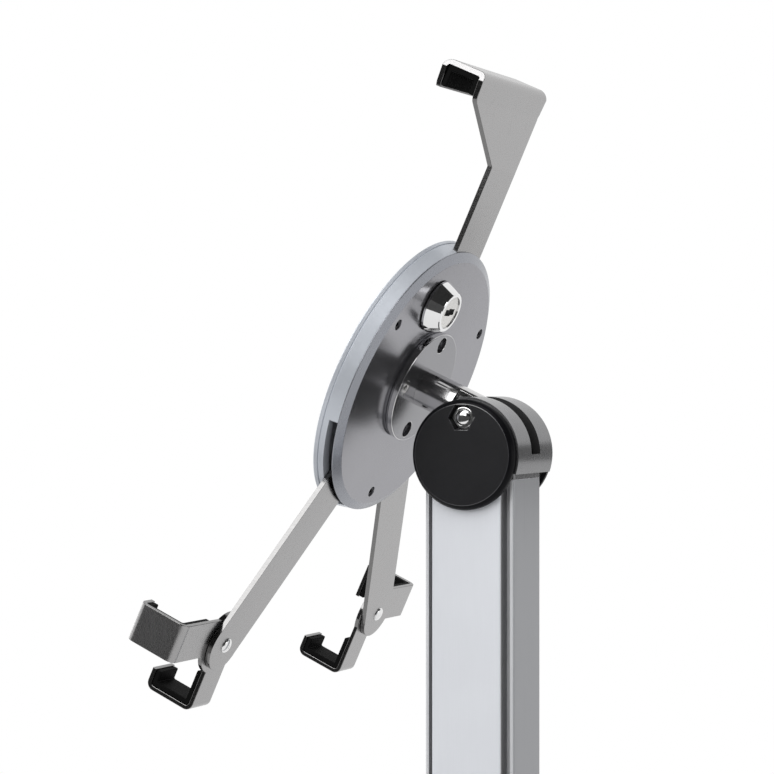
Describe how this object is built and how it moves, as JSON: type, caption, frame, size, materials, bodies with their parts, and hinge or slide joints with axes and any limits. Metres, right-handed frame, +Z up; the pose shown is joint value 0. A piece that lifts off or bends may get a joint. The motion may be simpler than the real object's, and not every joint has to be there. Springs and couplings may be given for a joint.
{
  "type": "adjustable tablet floor stand",
  "caption": "Floor stand with an aluminium pole and a tilting, turning hub whose hooked upper arm and folded corner grips clamp and lock a tablet",
  "frame": {"origin": "centre of the base's footprint, on the floor under the rubber feet", "axes": "+Z up; -Y is the side the screen faces and +Y the back; the tilt bolt lies along X, and the lock sits on the +X side of the hub"},
  "size_m": [0.3, 0.36, 1.1921],
  "materials": {
    "base_steel": "satin",
    "rubber": "matte",
    "zinc": "satin",
    "plate_steel": "satin",
    "black_plastic": "satin",
    "nylon": "satin",
    "pole_aluminium": "satin",
    "panel_aluminium": "satin",
    "yoke_metal": "satin",
    "stainless": "satin",
    "polished_steel": "polished",
    "hub_metal": "satin",
    "lock_chrome": "polished",
    "arm_steel": "satin",
    "black_screw": "satin"
  },
  "bodies": {
    "root": {"base_plate": "base_steel", "base_feet": "rubber", "foot_screws": "zinc", "foot_flange": "plate_steel", "base_bolts": "zinc", "pole_skirt": "black_plastic", "pole": "pole_aluminium", "side_panel_right": "panel_aluminium", "side_panel_left": "panel_aluminium", "foot_side_screws": "zinc", "yoke_side_screws": "zinc", "yoke": "yoke_metal", "end_cap_right": "black_plastic", "end_cap_left": "black_plastic", "tilt_bolt": "stainless", "tilt_nut": "stainless", "bolt_washers": "stainless", "friction_washers": "nylon"},
    "neck": {"neck_rod": "polished_steel", "neck_flange": "polished_steel", "backing_plate": "polished_steel", "flange_screws": "stainless", "spindle_washer": "zinc", "spindle_spring": "zinc", "spindle_nut": "zinc"},
    "hub": {"spindle_bush": "nylon", "hub_cover": "hub_metal", "hub_ring": "hub_metal", "hub_front": "hub_metal", "hub_pad": "rubber", "hub_screws": "black_screw", "arm_guide": "plate_steel", "guide_screws": "zinc", "arm_stop_pin": "zinc", "arm_pins": "zinc", "pin_collars": "nylon", "lock_body": "lock_chrome", "lock_gasket": "rubber", "lock_clip": "zinc"},
    "lock": {"lock_plug": "lock_chrome", "lock_cam": "zinc", "cam_screw": "zinc"},
    "upper_arm": {"upper_arm": "arm_steel", "hook_pad": "rubber"},
    "lower_arm_right": {"lower_arm_right": "arm_steel", "corner_rivet_right": "stainless"},
    "lower_arm_left": {"lower_arm_left": "arm_steel", "corner_rivet_left": "stainless"},
    "corner_right": {"corner_bracket_right": "arm_steel", "corner_pads_right": "rubber"},
    "corner_left": {"corner_bracket_left": "arm_steel", "corner_pads_left": "rubber"}
  },
  "joints": [
    {"name": "tilt", "type": "hinge", "parent": "root", "child": "neck", "pos_m": [0, 0, 1.0635], "axis": [-1, 0, 0], "range_deg": [-24.5, 105]},
    {"name": "turn", "type": "hinge", "parent": "neck", "child": "hub", "pos_m": [0, -0.02657, 1.07561], "axis": [0, 0.91, -0.4147], "continuous": true},
    {"name": "lock_turn", "type": "hinge", "parent": "hub", "child": "lock", "pos_m": [0.013, -0.01683, 1.1059], "axis": [0, 0.91, -0.4147], "range_deg": [0, 90]},
    {"name": "upper_slide", "type": "slide", "parent": "hub", "child": "upper_arm", "axis": [0, 0.4147, 0.91], "range_m": [-0.003, 0.015]},
    {"name": "right_arm_swing", "type": "hinge", "parent": "hub", "child": "lower_arm_right", "pos_m": [0.00941, -0.03676, 1.06339], "axis": [0, -0.91, 0.4147], "range_deg": [-4, 42]},
    {"name": "left_arm_swing", "type": "hinge", "parent": "hub", "child": "lower_arm_left", "pos_m": [-0.00941, -0.03676, 1.06339], "axis": [0, 0.91, -0.4147], "range_deg": [-4, 42]},
    {"name": "right_grip_turn", "type": "hinge", "parent": "lower_arm_right", "child": "corner_right", "pos_m": [0.06405, -0.07542, 0.98314], "axis": [0, 0.91, -0.4147], "range_deg": [-15, 45]},
    {"name": "left_grip_turn", "type": "hinge", "parent": "lower_arm_left", "child": "corner_left", "pos_m": [-0.06405, -0.07542, 0.98314], "axis": [0, -0.91, 0.4147], "range_deg": [-15, 45]}
  ]
}
